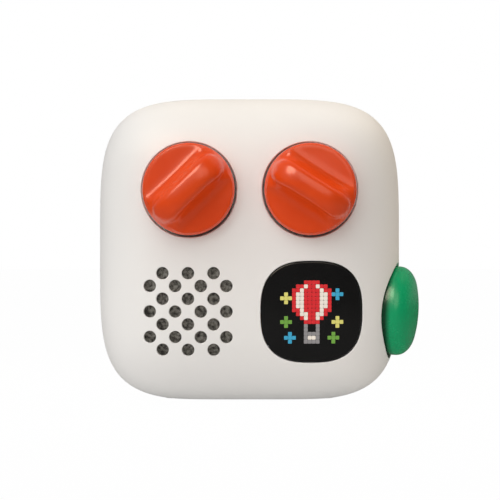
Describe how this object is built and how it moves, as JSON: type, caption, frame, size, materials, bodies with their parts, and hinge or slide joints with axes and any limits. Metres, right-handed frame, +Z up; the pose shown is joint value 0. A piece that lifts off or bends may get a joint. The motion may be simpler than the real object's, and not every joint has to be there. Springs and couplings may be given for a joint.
{
  "type": "audio story player",
  "caption": "Pocket story player for children: off-white soft cube, orange bar-grip knobs, drilled grille, lit pixel window and green side button; the card slot in its top and its size are guesses.",
  "frame": {"origin": "middle of the base at the surface the player stands on; the feet touch z = 0 and the casing's flat base is 0.3 mm above it", "axes": "+X to the right seen from the front, -Y the front with the knobs, +Z up"},
  "size_m": [0.0745, 0.0715, 0.0702],
  "materials": {
    "casing": "fine satin, off-white",
    "feet": "matt pale grey rubber",
    "steel": "plain turned steel",
    "knob": "polished orange",
    "encoder": "moulded housing",
    "board": "green solder mask",
    "dark_plastic": "black moulding",
    "cloth": "woven grey acoustic cloth",
    "foam": "closed-cell foam",
    "magnet": "plated yoke",
    "cone": "black pressed paper",
    "copper": "bare copper",
    "surround": "soft roll",
    "window": "polished smoked black",
    "glow_red": "lit picture point",
    "glow_pale": "lit picture point",
    "glow_blue": "lit picture point",
    "glow_green": "lit picture point",
    "glow_yellow": "lit picture point",
    "glow_grey": "lit picture point",
    "film": "milky film",
    "button": "polished green",
    "silicone": "clear-white silicone",
    "switch_pin": "cream plunger",
    "battery": "foil pouch",
    "can": "tinned sheet",
    "lead_red": "insulated wire",
    "ribbon": "amber film cable"
  },
  "bodies": {
    "casing": {"front_shell": "casing", "rear_shell": "casing", "base_feet": "feet", "case_screws": "steel", "left_encoder": "encoder", "right_encoder": "encoder", "bushing_nuts": "steel", "control_board": "board", "board_screws": "steel", "speaker_cloth": "cloth", "speaker_gasket": "foam", "speaker_frame": "dark_plastic", "speaker_magnet": "magnet", "speaker_surround": "surround", "display_window": "window", "picture_red": "glow_red", "picture_pale": "glow_pale", "picture_blue": "glow_blue", "picture_green": "glow_green", "picture_yellow": "glow_yellow", "picture_grey": "glow_grey", "diffuser_film": "film", "display_carrier": "dark_plastic", "pixel_grid": "dark_plastic", "light_board": "board", "button_bellows": "silicone", "button_bracket": "dark_plastic", "switch_body": "dark_plastic", "switch_board": "board", "card_chute": "dark_plastic", "antenna_board": "board", "antenna_coil": "copper", "battery_pack": "battery", "main_board": "board", "shield_can": "can", "main_chips": "dark_plastic", "port_board": "board", "charge_socket": "steel", "charge_tongue": "dark_plastic", "headphone_socket": "dark_plastic", "speaker_leads": "lead_red", "battery_leads": "dark_plastic", "display_ribbon": "ribbon"},
    "left_pusher": {"left_push_collar": "steel"},
    "left_dial": {"left_knob": "knob", "left_shaft": "steel"},
    "right_pusher": {"right_push_collar": "steel"},
    "right_dial": {"right_knob": "knob", "right_shaft": "steel"},
    "side_button": {"button_cap": "button"},
    "switch_pin": {"switch_plunger": "switch_pin"},
    "speaker_moving_part": {"speaker_cone": "cone", "voice_coil": "copper", "dust_cap": "cone"}
  },
  "joints": [
    {"name": "left_knob_push", "type": "slide", "parent": "casing", "child": "left_pusher", "axis": [0, 1, 0], "range_m": [0, 0.0006], "stiffness_N_per_m": 1500, "springref_m": -0.0004},
    {"name": "left_knob_turn", "type": "hinge", "parent": "left_pusher", "child": "left_dial", "pos_m": [-0.01355, -0.03, 0.0484], "axis": [0, -1, 0], "continuous": true},
    {"name": "right_knob_push", "type": "slide", "parent": "casing", "child": "right_pusher", "axis": [0, 1, 0], "range_m": [0, 0.0006], "stiffness_N_per_m": 1500, "springref_m": -0.0004},
    {"name": "right_knob_turn", "type": "hinge", "parent": "right_pusher", "child": "right_dial", "pos_m": [0.01355, -0.03, 0.0484], "axis": [0, -1, 0], "continuous": true},
    {"name": "side_button_press", "type": "slide", "parent": "casing", "child": "side_button", "axis": [-0.9751, 0.2162, 0.0489], "range_m": [0, 0.0008], "stiffness_N_per_m": 1500, "springref_m": -0.0004, "deforming": ["button_bellows"]},
    {"name": "switch_pin_press", "type": "slide", "parent": "casing", "child": "switch_pin", "axis": [-0.9751, 0.2162, 0.0489], "range_m": [0, 0.0008]},
    {"name": "speaker_stroke", "type": "slide", "parent": "casing", "child": "speaker_moving_part", "axis": [0, -1, 0], "range_m": [-0.0004, 0.0004], "stiffness_N_per_m": 1500, "deforming": ["speaker_surround"]}
  ],
  "couplings": [
    {"joint": "switch_pin_press", "follows": "side_button_press", "ratio": 1}
  ]
}
